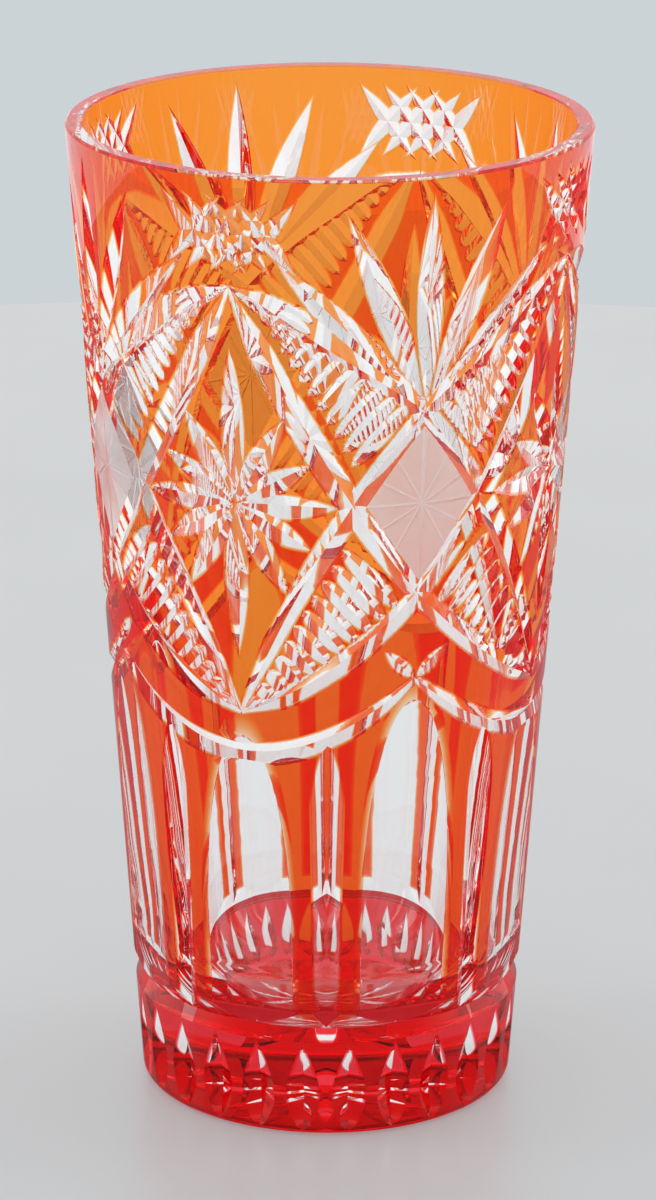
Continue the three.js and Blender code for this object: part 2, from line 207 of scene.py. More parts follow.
def crystal_profile():
    bottom = BASE_CASING + SEAM
    corner = FOOT_ROUNDING - FOOT_CASING - SEAM
    corner_z = bottom + corner
    inner_rim = RIM_RADIUS - RIM_WALL
    lip_z = HEIGHT - RIM_BEVEL + casing_thickness(HEIGHT) + SEAM
    depth = casing_thickness(RING_HEIGHT) + SEAM
    fillet_top = FLOOR_HEIGHT + FLOOR_FILLET
    low_inner = outer_radius(fillet_top) - LOW_WALL
    corner_arc = arc_points(crystal_radius(corner_z) - corner, corner_z, corner, -90, 0, CORNER_STEPS)
    fillet = arc_points(low_inner - FLOOR_FILLET, fillet_top, FLOOR_FILLET, 0, -90, FILLET_STEPS)
    keel = (outer_radius(RING_HEIGHT) - RING_DEPTH, RING_HEIGHT)
    lip = (crystal_radius(lip_z), lip_z)
    return make_profile([
        ([(0, bottom), corner_arc[0]], "seam"),
        (corner_arc, "seam"),
        ([corner_arc[-1], ring_edge(-1, depth)], "seam"),
        ([ring_edge(-1, depth), keel], "open"),
        ([keel, ring_edge(1, depth)], "open"),
        ([ring_edge(1, depth), lip], "seam"),
        ([lip, (RIM_RADIUS - RIM_BEVEL, HEIGHT)], "open"),
        ([(RIM_RADIUS - RIM_BEVEL, HEIGHT), (inner_rim + INNER_BEVEL, HEIGHT)], "open"),
        ([(inner_rim + INNER_BEVEL, HEIGHT), (inner_rim, HEIGHT - INNER_BEVEL)], "open"),
        ([(inner_rim, HEIGHT - INNER_BEVEL), fillet[0]], "open"),
        (fillet, "open"),
        ([fillet[-1], (0, FLOOR_HEIGHT)], "open"),
    ])


def upper_casing_profile():
    bevel_z = HEIGHT - RIM_BEVEL
    lip_z = bevel_z + casing_thickness(HEIGHT)
    top = (outer_radius(bevel_z), bevel_z)
    lip = (outer_radius(lip_z) - casing_thickness(lip_z), lip_z)
    low_inside = ring_edge(1, casing_thickness(RING_HEIGHT))
    return make_profile([
        ([ring_edge(1, 0), top], "open"),
        ([top, lip], "open"),
        ([lip, low_inside], "seam"),
        ([low_inside, ring_edge(1, 0)], "open"),
    ])


def foot_casing_profile():
    corner = FOOT_ROUNDING - FOOT_CASING
    corner_z = BASE_CASING + corner
    inside = outer_radius(corner_z) - casing_thickness(corner_z)
    outside = outer_radius(FOOT_ROUNDING) - FOOT_ROUNDING
    outer_arc = arc_points(outside, FOOT_ROUNDING, FOOT_ROUNDING, -90, 0, CORNER_STEPS)
    inner_arc = arc_points(inside - corner, corner_z, corner, 0, -90, CORNER_STEPS)
    high_inside = ring_edge(-1, casing_thickness(RING_HEIGHT))
    return make_profile([
        ([(0, 0), outer_arc[0]], "open"),
        (outer_arc, "open"),
        ([outer_arc[-1], ring_edge(-1, 0)], "open"),
        ([ring_edge(-1, 0), high_inside], "open"),
        ([high_inside, inner_arc[0]], "seam"),
        (inner_arc, "seam"),
        ([inner_arc[-1], (0, BASE_CASING)], "seam"),
    ])


blanks = {
    "crystal": crystal_profile(),
    "upper_casing": upper_casing_profile(),
    "foot_casing": foot_casing_profile(),
}
turned = {name: turn_profile(name, profile) for name, profile in blanks.items()}
print("Turned:", {name: len(mesh.polygons) for name, mesh in turned.items()})

# %% [markdown]
# ## The wheels
#
# A mitre wheel has a V edge. Pressed deeper, it cuts a wider groove, so a cutter swells a stroke by
# leaning on it and makes a point by letting go. A bump in the material could only shade such a groove,
# but it has to part the colour and bend the light, so it is a real shape. The cutting solid is one
# triangle, the V, that is extruded from station to station along the stroke, with its keel lower where the
# cut is wider.

# %% Places on the glass
QUARTER = 90  # the pattern repeats four times
HALF_QUARTER = QUARTER / 2


def on_cone(place):
    """A point of the outer face at a bearing in degrees (0 is the front, 90 the right) and a height."""
    bearing, radius = math.radians(place[0]), outer_radius(place[1])
    return Vector((radius * math.sin(bearing), -radius * math.cos(bearing), place[1]))


def cone_normal(place):
    bearing, level = math.radians(place[0]), math.cos(CONE_TILT)
    return Vector((level * math.sin(bearing), -level * math.cos(bearing), -math.sin(CONE_TILT)))


def on_base(place):
    return Vector((place[0], place[1], 0))


def base_normal(_place):
    return Vector((0, 0, -1))


def mm_per_degree(z):
    return math.radians(outer_radius(z))


def step_from(place, distance, angle):
    """The place at a distance in mm from another, at an angle from straight up."""
    up = distance * math.cos(math.radians(angle))
    across = distance * math.sin(math.radians(angle))
    return [place[0] + across / mm_per_degree(place[1] + up / 2), place[1] + up]


print("One degree at the rim:", round(mm_per_degree(HEIGHT), 2), "mm")

# %% Sweep a V along a path
MITRE_ANGLE = 126
MITRE_SPREAD = math.tan(math.radians(MITRE_ANGLE / 2))  # half a cut's width for each mm of its depth
CLEARANCE = 3  # how far a cutter stands out of the glass
WHEEL_CUT, MATT_CUT = 0, -1  # the marks on the faces that a cutter leaves
wheels = bpy.data.collections.new("wheels")


def add_cutter(name, bm):
    """Only the spokes are left matt."""
    bmesh.ops.recalc_face_normals(bm, faces=bm.faces)
    bmesh.ops.scale(bm, vec=(MM, MM, MM), verts=bm.verts)
    mesh = bpy.data.meshes.new(name)
    bm.to_mesh(mesh)
    bm.free()
    marks = [MATT_CUT if name == "spoke" else WHEEL_CUT] * len(mesh.polygons)
    mesh.attributes.new("stretch", "INT", "FACE").data.foreach_set("value", marks)
    wheels.objects.link(bpy.data.objects.new(name, mesh))


def mitre_cut(name, path, leans=None, point=on_cone, normal=cone_normal):
    """path is a list of (place, width). A lean moves the keel to the right of the path."""
    bm = bmesh.new()
    points = [point(place) for place, _ in path]
    caps = []
    for i, (place, width) in enumerate(path):
        up = normal(place)
        ahead, behind = points[min(i + 1, len(path) - 1)], points[max(i - 1, 0)]
        right = (ahead - behind).cross(up).normalized()
        half = width / 2
        lean = leans[i] if leans else 0.0
        section = [points[i] + right * lean * half - up * half / MITRE_SPREAD]
        for side in (-1, 1):
            reach = half + CLEARANCE * MITRE_SPREAD * (1 - side * lean)
            section.append(points[i] + right * side * reach + up * CLEARANCE)
        if not caps:
            corners = [bm.verts.new(p) for p in section]
            caps.append(bm.faces.new(corners))
            continue
        made = bmesh.ops.extrude_face_region(bm, geom=[caps[-1]])["geom"]
        caps.append(next(g for g in made if isinstance(g, bmesh.types.BMFace)))
        moved = {tuple(v.co): v for v in caps[-1].verts}
        corners = [moved[tuple(c.co)] for c in corners]
        for corner, p in zip(corners, section):
            corner.co = p
    bmesh.ops.delete(bm, geom=caps[1:-1], context="FACES_ONLY")
    add_cutter(name, bm)


print("Depth of a cut for each mm of its width:", round(1 / (2 * MITRE_SPREAD), 3), "mm")

# %% Straight strokes, and how they swell


def even_swell(share):
    """The share of the full width: none at both ends of a stroke, where the wheel comes off."""
    return 4 * share * (1 - share)


def early_swell(share):
    """Widest a little before the middle, then a long point."""
    return math.sin(math.pi * share**0.85) ** 0.85


def late_swell(share):
    """Widest a little past the middle, and full for longer."""
    return math.sin(math.pi * share**1.3) ** 0.8


def lens_swell(share):
    return math.sin(math.pi * share)


def blunt_swell(share):
    """Nearly full all along, as of a wheel that is set down and lifted at once."""
    return even_swell(share) ** 0.55


def stroke(name, start, end, width, swell=even_swell, steps=8, **how):
    """A straight stroke of the wheel between two places."""
    path = []
    for share in [i / steps for i in range(steps + 1)]:
        place = [start[k] + (end[k] - start[k]) * share for k in (0, 1)]
        path.append((place, width * max(swell(share), 0.0)))
    mitre_cut(name, path, **how)


print("Swells a quarter of the way:", [round(f(0.25), 2) for f in (even_swell, early_swell, late_swell)])

# %% [markdown]
# ## The long arcs
#
# Two families of long arcs cross all round the vase. Between them they bound everything else: tall star
# panels, frosted diamonds and four combed corners. Each arc is a parabola on the unrolled face, with a
# slight sag near its apex. The cutter presses harder and lets go along the way, so the cut swells to a
# broad crescent at the top and again lower down. In the crescents of the upper arcs the wheel also leans,
# so that the bottom of the V lies low in the cut and the flank above it is broad.

# %% Grind the arcs
STAR_BEARING = -22.5
APEX = 222.5
NADIR = 114
MIDDLE = (APEX + NADIR) / 2
DIAMOND_TOP = 191.5
STARS = [STAR_BEARING + QUARTER * i for i in range(4)]
DIAMONDS = [bearing + HALF_QUARTER for bearing in STARS]
ARC_FALL = (2 * (APEX - NADIR) - 4 * (APEX - DIAMOND_TOP)) / QUARTER**2
ARC_SLOPE = (APEX - NADIR) / QUARTER - ARC_FALL * QUARTER
ARC_SAG = 1.8
ARC_STEPS = 60
CRESCENT_LEAN = 0.7
# Each pair is a run and the width of the cut there.
OVER_WIDTHS = ((0, 2.3), (10, 7.0), (22, 8.6), (34, 7.8), (45, 6.0), (68, 6.9), (80, 5.6), (90, 2.3))
UNDER_WIDTHS = ((0, 2.3), (8, 7.4), (18, 8.3), (30, 7.2), (45, 6.0), (60, 6.6), (76, 6.3), (90, 2.3))


def crescent(run):
    """1 in the middle of an arc's upper half, where its crescent is, and 0 outside that half."""
    return max(0.0, 4 * run * (HALF_QUARTER - run) / HALF_QUARTER**2)


def over_arc(run):
    """Height of the upper arc, run degrees from the apex of the star panel where it starts."""
    return APEX - ARC_SLOPE * run - ARC_FALL * run**2 - ARC_SAG * crescent(run)


def under_arc(run):
    return APEX + NADIR - over_arc(QUARTER - run)


ARC_ROOT = math.sqrt(ARC_SLOPE**2 + 4 * ARC_FALL * (APEX - MIDDLE))
CORNER_RUN = QUARTER - (ARC_ROOT - ARC_SLOPE) / (2 * ARC_FALL)  # from a star to a diamond's corner


def along(points, run):
    """The width of a cut at a run, eased between the (run, width) pairs."""
    for (start, first), (end, last) in zip(points, points[1:]):
        if run <= end:
            share = max(0.0, run - start) / (end - start)
            return first + (last - first) * (1 - math.cos(math.pi * share)) / 2
    return points[-1][1]


def over_width(run):
    return along(OVER_WIDTHS, run)


def under_width(run):
    return along(UNDER_WIDTHS, run)


def grind_arcs():
    runs = [QUARTER * i / ARC_STEPS for i in range(ARC_STEPS + 1)]
    for star in STARS:
        for side in (-1, 1):
            over = [([star + side * run, over_arc(run)], over_width(run)) for run in runs]
            under = [([star + side * run, under_arc(run)], under_width(run)) for run in runs]
            leans = [side * CRESCENT_LEAN * crescent(run) for run in runs]
            mitre_cut("over_arc", over, leans)
            mitre_cut("under_arc", under)


grind_arcs()

# %% [markdown]
# ## Stars, fans and trellises
#
# A star has twelve rays that meet in a clear centre, a fan has five over each diamond, and a trellis of
# short crossing strokes sits over each panel and leaves small lozenges of colour. All are single strokes
# of the same wheel, so they differ only in where they start and end and how wide they swell.

# %% Grind the stars, fans and trellises
FINE_STEPS = 12  # stations of a stroke whose outline shows
REACH_STEP = 0.1
STAR_RAYS = 12
STAR_RAY_WIDTH = 7.3
STAR_RAY_GAP = 0.4  # colour that is left at the tip of a ray
STAR_RAY_LONGEST = 40
FAN_RAYS = 5
FAN_SPREAD = 88
FAN_RAY_LENGTH = 55
FAN_RAY_WIDTH = 8.0
TRELLIS_STROKES = 4
TRELLIS_HEIGHT = 235.5
TRELLIS_RISE = 19.5
TRELLIS_RUN = 16.5
TRELLIS_PITCH = 6.3
TRELLIS_WIDTH = 5.2


def ray_reach(angle, inside):
    """How far a ray from the middle of a field runs before it leaves the field."""
    distance = REACH_STEP
    while inside(*step_from([0, MIDDLE], distance + REACH_STEP, angle)):
        distance += REACH_STEP
    return distance


def in_star_panel(bearing, z):
    """Whether a place is within the bands round a panel, for a star at bearing 0."""
    run = abs(bearing)
    top = under_arc(run) - under_width(run) / 2
    bottom = over_arc(QUARTER - run) + over_width(QUARTER - run) / 2
    return bottom < z < top


def grind_star(star):
    centre = [star, MIDDLE]
    for i in range(STAR_RAYS):
        angle = 360 * i / STAR_RAYS
        length = min(ray_reach(angle, in_star_panel) - STAR_RAY_GAP, STAR_RAY_LONGEST)
        tip = step_from(centre, length, angle)
        stroke("star_ray", centre, tip, STAR_RAY_WIDTH, early_swell, FINE_STEPS)


def grind_fan(diamond):
    root = [diamond, DIAMOND_TOP]
    for i in range(FAN_RAYS):
        tip = step_from(root, FAN_RAY_LENGTH, FAN_SPREAD * (i / (FAN_RAYS - 1) - 0.5))
        stroke("fan_ray", root, tip, FAN_RAY_WIDTH, lens_swell, FINE_STEPS)


def grind_trellis(star):
    scale = mm_per_degree(TRELLIS_HEIGHT)
    lean = TRELLIS_RUN / scale / 2
    for i in range(TRELLIS_STROKES):
        middle = star + (i - (TRELLIS_STROKES - 1) / 2) * TRELLIS_PITCH / scale
        for side in (-1, 1):
            low = [middle - side * lean, TRELLIS_HEIGHT - TRELLIS_RISE / 2]
            high = [middle + side * lean, TRELLIS_HEIGHT + TRELLIS_RISE / 2]
            stroke("trellis_cut", low, high, TRELLIS_WIDTH, lens_swell)


for star, diamond in zip(STARS, DIAMONDS):
    grind_star(star)
    grind_fan(diamond)
    grind_trellis(star)

# %% [markdown]
# ## Combs
#
# The corners between the crossing arcs are filled with short parallel strokes, which a cutter spaces by
# eye, each parallel to the side of the nearest diamond. In an upper comb they run into the crescent over
# them, but stop short of the band below, so a thin line of colour stays along it. The strokes of a lower
# comb are wider, stand further apart and bite into both bands. A search by halving finds where a line
# meets its arcs.

# %% Grind the combs
COMB_SLANT = math.radians(47)
SHORTEST_STROKE = 3
HALVINGS = 30
UPPER_FIRST = 7.8  # from the diamond's corner to the first stroke
UPPER_PITCH = 3.95
UPPER_WIDTH = 5.5
UPPER_SHORT_OF_BAND = 1.2
LOWER_FIRST = 9.2
LOWER_PITCH = 4.5
LOWER_WIDTH = 5.8
LOWER_BITE_OVER = 0.5
LOWER_BITE_UNDER = 2.0


def crossing(low, high, above):
    """The run between low and high where a function changes its sign."""
    for _ in range(HALVINGS):
        middle = (low + high) / 2
        low, high = (middle, high) if (above(middle) > 0) == (above(low) > 0) else (low, middle)
    return (low + high) / 2


def comb_lines(first, pitch, low_gap, high_gap):
    """(start, end) of each stroke, as (run, z), in the comb to the upper right of a star.

    first is how far the first stroke is from the corner of the diamond, square to the strokes. The gaps
    say how far a stroke stays from the middle of the arc at each of its ends.
    """
    rise = math.tan(COMB_SLANT) * mm_per_degree(DIAMOND_TOP)
    scale = math.hypot(mm_per_degree(DIAMOND_TOP), rise)
    lines = []
    while True:
        lift = (first + len(lines) * pitch) / math.cos(COMB_SLANT)

        def line(run):
            return MIDDLE + rise * (run - CORNER_RUN) + lift

        low = crossing(0.0, CORNER_RUN, lambda run: under_arc(run) - line(run))
        high = crossing(low, HALF_QUARTER, lambda run: over_arc(run) - line(run))
        low += low_gap(low) / scale
        high -= high_gap(high) / scale
        if (high - low) * scale < SHORTEST_STROKE:
            return lines
        lines.append(((low, line(low)), (high, line(high))))


def grind_combs():
    """A lower comb is made as an upper one and turned over, which swaps the two arcs."""
    upper = comb_lines(
        UPPER_FIRST, UPPER_PITCH, lambda run: under_width(run) / 2 + UPPER_SHORT_OF_BAND, lambda run: 0.0)
    lower = comb_lines(
        LOWER_FIRST, LOWER_PITCH, lambda run: over_width(QUARTER - run) / 2 - LOWER_BITE_OVER,
        lambda run: under_width(QUARTER - run) / 2 - LOWER_BITE_UNDER)
    for star in STARS:
        for side in (-1, 1):
            for line in upper:
                ends = [[star + side * run, z] for run, z in line]
                stroke("comb_cut", *ends, UPPER_WIDTH, blunt_swell, FINE_STEPS)
            for line in lower:
                ends = [[star + side * (QUARTER - run), 2 * MIDDLE - z] for run, z in line]
                stroke("comb_cut", *ends, LOWER_WIDTH, blunt_swell, FINE_STEPS)
    return len(upper), len(lower)


print("Strokes in an upper and a lower comb:", grind_combs())

# %% [markdown]
# ## Necklace, flutes and foot
#
# A necklace of swags hangs under the pattern, with a cusp and two small rays under each diamond. Below it
# broad flutes are ground flat with a wide wheel, and fade out upwards in an arch because the wheel leaves
# the cone on a curve. A narrow pointed flute stands between each two, and short cuts go round the foot.

# %% Grind the necklace
NECKLACE_LOW = 103.3
NECKLACE_CUSP = 123
NECKLACE_WIDTH = 6.6
NECKLACE_THINNING = 0.6  # the share of its width that it loses on the way to a cusp
CUSP_RAY_LENGTH = 11.9
CUSP_RAY_WIDTH = 4.6
CUSP_RAY_ANGLE = 46


def necklace_at(run):
    return NECKLACE_LOW + (NECKLACE_CUSP - NECKLACE_LOW) * (run / HALF_QUARTER) ** 2


def necklace_width(run):
    return NECKLACE_WIDTH * (1 - NECKLACE_THINNING * (run / HALF_QUARTER) ** 4)


def grind_necklace():
    runs = [HALF_QUARTER * (2 * i / ARC_STEPS - 1) for i in range(ARC_STEPS + 1)]
    for star, diamond in zip(STARS, DIAMONDS):
        mitre_cut("necklace", [([star + run, necklace_at(run)], necklace_width(run)) for run in runs])
        cusp = [diamond, NECKLACE_CUSP]
        for side in (-1, 1):
            tip = step_from(cusp, CUSP_RAY_LENGTH, side * CUSP_RAY_ANGLE)
            stroke("cusp_ray", cusp, tip, CUSP_RAY_WIDTH, early_swell)


grind_necklace()
print("Necklace: swag at", NECKLACE_LOW, "cusp at", NECKLACE_CUSP)

# %% Grind the flutes and the foot
FLUTE_DEPTH = 1.63
FLUTE_FADE = 52  # the height over which a broad flute fades out
FLUTE_STEPS = 32
STAR_FLUTE_TOP = NECKLACE_LOW + 4.2
DIAMOND_FLUTE_TOP = NECKLACE_CUSP - 6
MITRE_FLUTES = 8
MITRE_FLUTE_WIDTH = 9.4
MITRE_FLUTE_LOW_WIDTH = 7.0
MITRE_FLUTE_TIP = 2  # how far the tip runs on into the necklace
MITRE_FLUTE_SWELL = 20  # the height over which the flute grows to its full width
FOOT_CUTS = 26
FOOT_CUT_WIDTH = 9.4
FOOT_CUT_LOW = 1.0
FOOT_CUT_GAP = 0.3  # colour that is left under the ring groove
FOOT_CUT_STEPS = 16


def broad_flute(bearing, top):
    """A flat ground along the cone: its profile, from the side, is extruded straight across."""
    full_top = top - FLUTE_FADE
    rise = FLUTE_DEPTH - casing_thickness(top) - SEAM
    curve = FLUTE_FADE * math.sqrt((FLUTE_DEPTH + CLEARANCE) / rise)
    points = [(outer_radius(RING_HEIGHT) - FLUTE_DEPTH, RING_HEIGHT)]
    for share in [i / FLUTE_STEPS for i in range(FLUTE_STEPS + 1)]:
        z = full_top + curve * share
        points.append((outer_radius(z) - FLUTE_DEPTH + (FLUTE_DEPTH + CLEARANCE) * share**2, z))
    outside = outer_radius(HEIGHT) + CLEARANCE
    points += [(outside, points[-1][1]), (outside, RING_HEIGHT)]
    bm = bmesh.new()
    width = 2 * TAPER_RADIUS
    face = bm.faces.new([bm.verts.new((r, -width / 2, z)) for r, z in points])
    made = bmesh.ops.extrude_face_region(bm, geom=[face])["geom"]
    bmesh.ops.translate(bm, vec=(0, width, 0), verts=[g for g in made if isinstance(g, bmesh.types.BMVert)])
    bmesh.ops.rotate(bm, matrix=Matrix.Rotation(math.radians(bearing - 90), 3, "Z"), verts=bm.verts)
    add_cutter("broad_flute", bm)


def mitre_flute(bearing):
    tip = necklace_at(HALF_QUARTER / 2) + MITRE_FLUTE_TIP
    path = []
    for share in [i / FINE_STEPS for i in range(FINE_STEPS + 1)]:
        width = MITRE_FLUTE_WIDTH * math.sin(math.pi / 2 * share)
        path.append(([bearing, tip - MITRE_FLUTE_SWELL * share], width))
    mitre_cut("mitre_flute", path + [([bearing, RING_HEIGHT], MITRE_FLUTE_LOW_WIDTH)])


def foot_cut(bearing):
    top = ring_edge(-1, 0)[1] - FOOT_CUT_GAP
    stroke("foot_cut", [bearing, top], [bearing, FOOT_CUT_LOW], FOOT_CUT_WIDTH, late_swell, FOOT_CUT_STEPS)


for star, diamond in zip(STARS, DIAMONDS):
    broad_flute(star, STAR_FLUTE_TOP)
    broad_flute(diamond, DIAMOND_FLUTE_TOP)
for i in range(MITRE_FLUTES):
    mitre_flute(360 / MITRE_FLUTES * i)
for i in range(FOOT_CUTS):
    foot_cut(180 / FOOT_CUTS + 360 * i / FOOT_CUTS)

# %% [markdown]
# ## The star under the base and the spokes of the diamonds
#
# Many such vases have a star cut into the underside, so this one has eight plain rays there. The frosted
# diamonds are engraved with twelve fine spokes. A spoke's V starts from the level of the cone, and the
# colour is ground away in a diamond, so only the bottom of the V is left in the crystal.

# %% Grind the base star and the spokes
BASE_RAYS = 8
BASE_RAY_LENGTH = 34
BASE_RAY_WIDTH = 4.6
SPOKES = 12
SPOKE_GAP = 0.6
SPOKE_DEPTH = 0.26  # in the crystal
SPOKE_FULL_TO = 0.8  # the share of a spoke that has its full width


def base_ray(angle):
    turn = math.radians(angle)
    tip = [BASE_RAY_LENGTH * math.sin(turn), -BASE_RAY_LENGTH * math.cos(turn)]
    stroke("base_ray", [0, 0], tip, BASE_RAY_WIDTH, point=on_base, normal=base_normal)


def in_diamond(bearing, z):
    """Whether a place is within the bands round a diamond that has its middle at bearing 0."""
    run = HALF_QUARTER - abs(bearing)
    top = over_arc(QUARTER - run) - over_width(QUARTER - run) / 2
    bottom = under_arc(run) + under_width(run) / 2
    return bottom < z < top


def spoke_swell(share):
    return 1.0 if share < SPOKE_FULL_TO else 1.4 - 0.5 * share


def grind_spokes(diamond):
    centre = [diamond, MIDDLE]
    width = 2 * MITRE_SPREAD * (casing_thickness(MIDDLE) + SEAM + SPOKE_DEPTH)
    for i in range(SPOKES):
        angle = 360 * i / SPOKES
        tip = step_from(centre, ray_reach(angle, in_diamond) - SPOKE_GAP, angle)
        stroke("spoke", centre, tip, width, spoke_swell)


for diamond in DIAMONDS:
    grind_spokes(diamond)
for i in range(BASE_RAYS):
    base_ray(360 / BASE_RAYS * i)

# %% [markdown]
# ## Grinding
#
# One Boolean takes all the cutters from a blank at once, where a Boolean for each of them would take
# hundreds of passes. The Manifold solver is quick and keeps every result closed. The same cutters go
# through the crystal and the colour, so a groove that starts in the colour runs on into the crystal
# without a step.

# %% Take the cuts out of the blanks


def ground(name):
    blank = bpy.data.objects.new(name, turned[name])
    bpy.context.scene.collection.objects.link(blank)
    cuts = blank.modifiers.new("wheels", "BOOLEAN")
    cuts.operation, cuts.solver = "DIFFERENCE", "MANIFOLD"
    cuts.operand_type, cuts.collection = "COLLECTION", wheels
    seen = blank.evaluated_get(bpy.context.evaluated_depsgraph_get())
    mesh = bpy.data.meshes.new_from_object(seen)
    mesh.materials.clear()  # the Boolean leaves an empty slot
    bpy.data.objects.remove(blank)
    return mesh


bpy.context.scene.collection.children.link(wheels)
cut_meshes = {name: ground(name) for name in blanks}
for cutter in list(wheels.objects):
    bpy.data.objects.remove(cutter)
bpy.data.collections.remove(wheels)
print("Ground:", {name: len(mesh.polygons) for name, mesh in cut_meshes.items()})

# %% [markdown]
# ## Sorting the colour into its islands
#
# What is left of the colour is many islands. Each belongs to a field of the pattern, such as one star
# panel or one comb, and each field is one piece that stands for the CAD node of the same name. The colour
# inside the diamonds is ground away when they are frosted, so those islands are dropped.

# %% Find the field of the pattern that a point lies in


def bearing_of(point):
    return math.degrees(math.atan2(point.x, -point.y))


def field_of(middle):
    """The name of the field and, where the field repeats, its number round the vase."""
    z, bearing = middle.z / MM, bearing_of(middle)
    if z < RING_HEIGHT:
        return "foot"
    if math.hypot(middle.x, middle.y) / MM < outer_radius(z) / 2:
        return "collar" if z > MIDDLE else "garland"
    quarters = (bearing - STAR_BEARING) / QUARTER
    run = abs(quarters - round(quarters)) * QUARTER
    arcs = [over_arc(run), under_arc(run), over_arc(QUARTER - run), under_arc(QUARTER - run)]
    arcs_above = sum(arc > z for arc in arcs)
    eighth = round(bearing / HALF_QUARTER) % 8 + 1
    if arcs_above == 0:
        return "collar"
    if arcs_above == 1:
        return f"upper_comb_{eighth}"
    if arcs_above == 2:
        return f"star_panel_{round(quarters) % 4 + 1}" if run < CORNER_RUN else "diamond"
    if arcs_above == 3:
        return f"lower_comb_{eighth}"
    from_star = QUARTER - run if run > HALF_QUARTER else run
    if z > necklace_at(from_star):
        return "garland"
    return f"arch_{math.floor(quarters) % 4 + 1}" if run > CORNER_RUN else f"strip_{eighth}"


print("Field at the first star's middle:", field_of(on_cone([STARS[0], MIDDLE]) * MM))

# %% Collect the islands of each field


def islands_of(bm):
    """Lists of faces that hang together."""
    unseen, islands = set(bm.faces), []
    while unseen:
        island, edge_of_island = [], [unseen.pop()]
        while edge_of_island:
            face = edge_of_island.pop()
            island.append(face)
            near = {other for edge in face.edges for other in edge.link_faces} & unseen
            unseen -= near
            edge_of_island.extend(near)
        islands.append(island)
    return islands


def split_by_field(mesh):
    """A mesh for each field, made by deleting the other fields' faces from a copy."""
    whole = bmesh.new()
    whole.from_mesh(mesh)
    fields = {}
    for island in islands_of(whole):
        corners = {vert for face in island for vert in face.verts}
        middle = sum((v.co for v in corners), Vector()) / len(corners)
        fields.setdefault(field_of(middle), set()).update(face.index for face in island)
    made = {}
    for field, keep in fields.items():
        bm = whole.copy()
        bmesh.ops.delete(bm, geom=[f for f in bm.faces if f.index not in keep], context="FACES")
        made[field] = bpy.data.meshes.new(f"cased_{field}")
        bm.to_mesh(made[field])
        bm.free()
    whole.free()
    return made


fields = {**split_by_field(cut_meshes["upper_casing"]), **split_by_field(cut_meshes["foot_casing"])}
bpy.data.meshes.remove(fields.pop("diamond"))
missing = set(frame["nodes"]) - {f"casing_{field}" for field in fields} - {"crystal_body"}
print("Fields:", len(fields), "CAD nodes with no field:", sorted(missing))

# %% [markdown]
# ## Polish
#
# After cutting, the vase is dipped in acid, which leaves every groove as bright as the blank. Two numbers
# on each face say how it meets light: its refractive index, which is 1 at a seam so that light runs
# straight on from layer to layer, and its frost, which is 1 in the diamonds and their spokes. The turned
# faces also take their normals from the true profile, so that no facet of the mesh shows in the glass.

# %% Set the faces' optics and their normals
CRYSTAL_IOR = 1.545
SHARP_ABOVE = math.radians(16)
ON_AXIS_MM = 1e-3


def profile_facing(stretch, point):
    """The profile's own normal at a point of a stretch, turned to the point's bearing."""
    radius, z = math.hypot(point.x, point.y) / MM, point.z / MM
    start, end = Vector(stretch["start"]), Vector(stretch["end"])
    along_it = end - start
    share = max(0.0, min(1.0, (Vector((radius, z)) - start).dot(along_it) / along_it.length_squared))
    first = stretch.get("start_facing", stretch["facing"])
    last = stretch.get("end_facing", stretch["facing"])
    facing = first.lerp(last, share) if stretch["arc"] else stretch["facing"]
    out = Vector((point.x, point.y, 0)).normalized() if radius > ON_AXIS_MM else Vector((0, 0, 0))
    return (out * facing.x + Vector((0, 0, facing.y))).normalized()


def keep_on_faces(mesh, name, values):
    mesh.attributes.new(name, "FLOAT", "FACE").data.foreach_set("value", values)


def polish(mesh, profile):
    """Sets the optics of every face, and returns how many faces are frosted."""
    codes = [item.value for item in mesh.attributes["stretch"].data]
    mesh.shade_smooth()
    mesh.set_sharp_from_angle(angle=SHARP_ABOVE)
    normals = [Vector((0, 0, 0))] * len(mesh.loops)
    indices, frost = [], []
    for face, code in zip(mesh.polygons, codes):
        stretch = profile[code - 1] if code > 0 else None
        seam = bool(stretch) and stretch["kind"] == "seam"
        in_frosted = seam and mesh.name.startswith("crystal") and field_of(face.center) == "diamond"
        matt = code == MATT_CUT or in_frosted
        indices.append(1.0 if seam and not matt else CRYSTAL_IOR)
        frost.append(float(matt))
        for loop in face.loop_indices if stretch else ():
            normals[loop] = profile_facing(stretch, mesh.vertices[mesh.loops[loop].vertex_index].co)
    mesh.normals_split_custom_set(normals)
    keep_on_faces(mesh, "glass_index", indices)
    keep_on_faces(mesh, "frost", frost)
    return int(sum(frost))


def place(name, mesh, node, slot):
    """Hands a finished mesh to the frame, in place of a CAD node."""
    piece = bpy.data.objects.new(name, mesh)
    bpy.context.scene.collection.objects.link(piece)
    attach(piece, "root")
    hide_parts(node)
    return piece


crystal_mesh = cut_meshes["crystal"]
crystal_mesh.name = "crystal_blank"
print("Frosted faces:", polish(crystal_mesh, blanks["crystal"]))
crystal = place("cut_crystal_blank", crystal_mesh, "crystal_body", "crystal")
SLOTS = {
    "collar": "casing_orange",
    "star": "casing_orange",
    "upper": "casing_orange",
    "lower": "casing_orange",
    "garland": "casing_vermilion",
    "arch": "casing_vermilion",
    "strip": "casing_vermilion",
    "foot": "casing_red",
}
casings = {}
for field, mesh in sorted(fields.items()):
    polish(mesh, blanks["foot_casing" if field == "foot" else "upper_casing"])
    slot = SLOTS[field.split("_")[0]]
    casings[field] = place(f"cased_{field}", mesh, f"casing_{field}", slot)
print("Pieces:", 1 + len(casings))
print("Faces:", sum(len(piece.data.polygons) for piece in [crystal, *casings.values()]))

